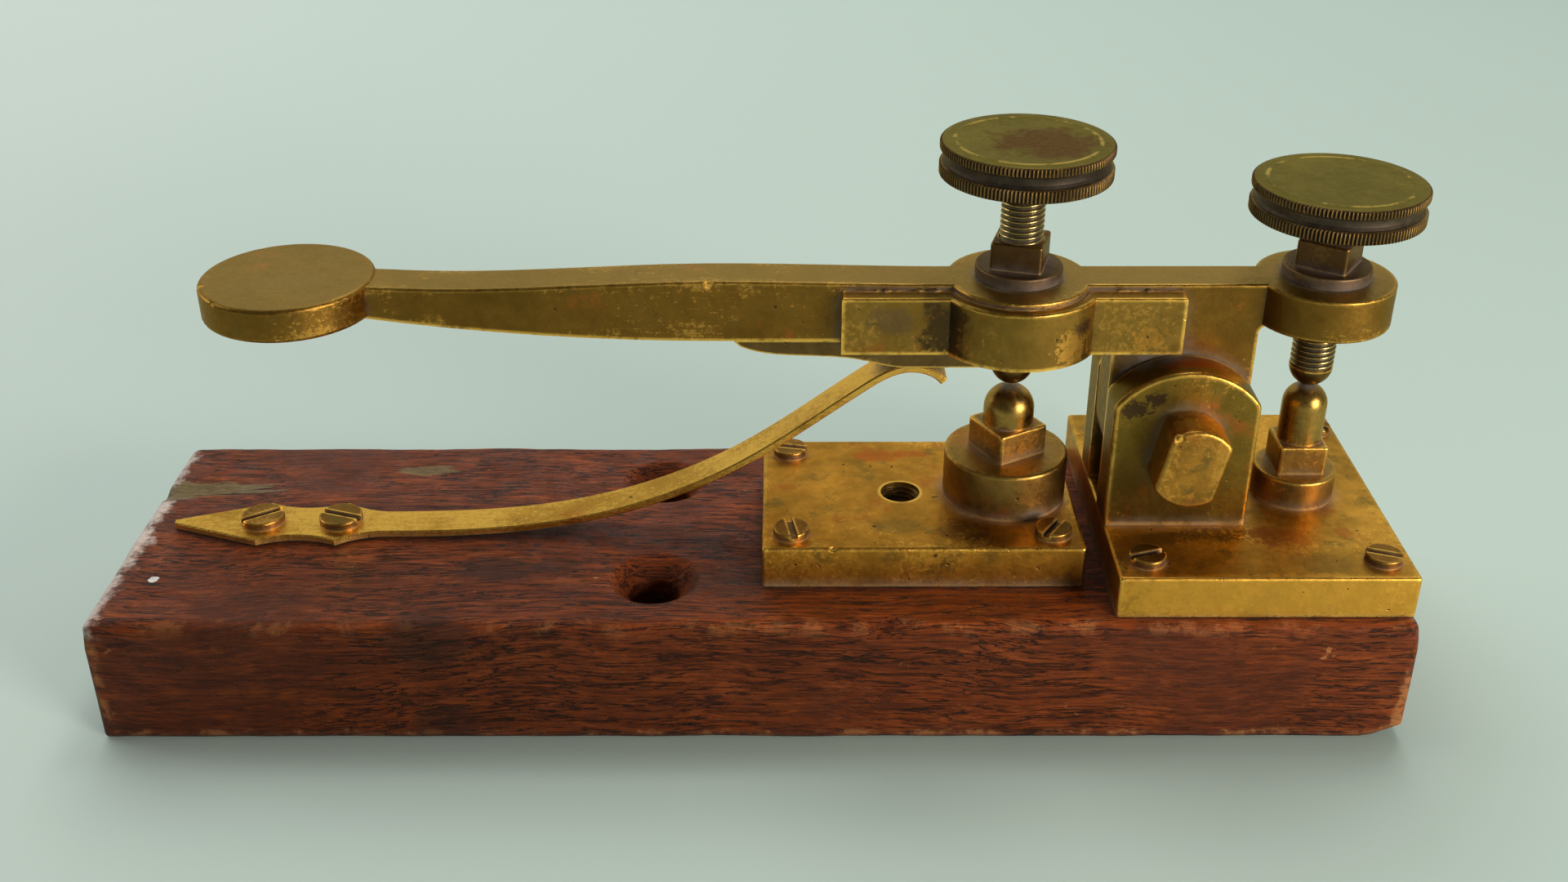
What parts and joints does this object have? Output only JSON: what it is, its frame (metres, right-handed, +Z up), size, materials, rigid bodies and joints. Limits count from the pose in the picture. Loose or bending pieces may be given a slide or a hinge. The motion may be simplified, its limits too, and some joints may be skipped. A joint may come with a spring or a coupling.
{
  "type": "morse key",
  "caption": "Straight brass telegraph key on a wooden base: rocking lever, adjustable contacts, leaf spring.",
  "frame": {"origin": "centre of the wooden base's underside", "axes": "+X along the base from the finger disc to the adjusting screws, +Z up"},
  "size_m": [0.2, 0.056, 0.0872],
  "materials": {
    "mahogany": "worn reddish-brown hardwood",
    "plate_brass": "aged, stained",
    "lever_brass": "aged, olive-brown patina",
    "knob_brass": "dull olive patina",
    "contact_brass": "polished by use",
    "spring_brass": "springy sheet, lightly scratched",
    "nut_brass": "dark, bright corners",
    "screw_brass": "bronze-brown"
  },
  "bodies": {
    "base": {"wooden_base": "mahogany", "contact_plate": "plate_brass", "contact_plate_screws": "screw_brass", "fork_plate": "plate_brass", "fork_plate_screws": "screw_brass", "front_pedestal": "contact_brass", "front_stud_nut": "contact_brass", "front_stud": "contact_brass", "rear_pedestal": "contact_brass", "rear_stud_nut": "contact_brass", "rear_stud": "contact_brass", "near_cheek": "plate_brass", "far_cheek": "plate_brass", "pivot_pin": "lever_brass", "pivot_nut": "lever_brass", "leaf_spring": "spring_brass", "spring_screws": "screw_brass"},
    "lever": {"lever": "lever_brass", "lever_collar": "lever_brass", "spring_rest": "lever_brass", "front_lock_washer": "nut_brass", "rear_lock_washer": "nut_brass"},
    "front_tip": {"front_contact_tip": "contact_brass"},
    "front_screw": {"front_adjusting_screw": "knob_brass"},
    "rear_tip": {"rear_contact_tip": "contact_brass"},
    "rear_screw": {"rear_adjusting_screw": "knob_brass"},
    "front_nut": {"front_lock_nut": "nut_brass"},
    "rear_nut": {"rear_lock_nut": "nut_brass"}
  },
  "joints": [
    {"name": "lever_rock", "type": "hinge", "parent": "base", "child": "lever", "pos_m": [0.0656, 0, 0.0421], "axis": [0, -1, 0], "range_deg": [0, 1.1], "stiffness_Nm_per_rad": 4, "springref_deg": -4.58, "deforming": ["leaf_spring"]},
    {"name": "front_screw_rise", "type": "slide", "parent": "lever", "child": "front_tip", "axis": [0, 0, 1], "range_m": [0, 0.0017]},
    {"name": "front_screw_turn", "type": "hinge", "parent": "front_tip", "child": "front_screw", "pos_m": [0.04015, 0, 0.075], "axis": [0, 0, 1], "range_deg": [0, 725]},
    {"name": "front_lock_turn", "type": "hinge", "parent": "lever", "child": "front_nut", "pos_m": [0.04015, 0, 0.07], "axis": [0, 0, 1], "range_deg": [0, 90]},
    {"name": "rear_screw_rise", "type": "slide", "parent": "lever", "child": "rear_tip", "axis": [0, 0, 1], "range_m": [0, 0.0017]},
    {"name": "rear_screw_turn", "type": "hinge", "parent": "rear_tip", "child": "rear_screw", "pos_m": [0.08655, 0, 0.075], "axis": [0, 0, 1], "range_deg": [0, 725]},
    {"name": "rear_lock_turn", "type": "hinge", "parent": "lever", "child": "rear_nut", "pos_m": [0.08655, 0, 0.07], "axis": [0, 0, 1], "range_deg": [0, 90]}
  ],
  "couplings": [
    {"joint": "front_screw_turn", "follows": "front_screw_rise", "rad_per_m": 7392},
    {"joint": "rear_screw_turn", "follows": "rear_screw_rise", "rad_per_m": 7392}
  ]
}
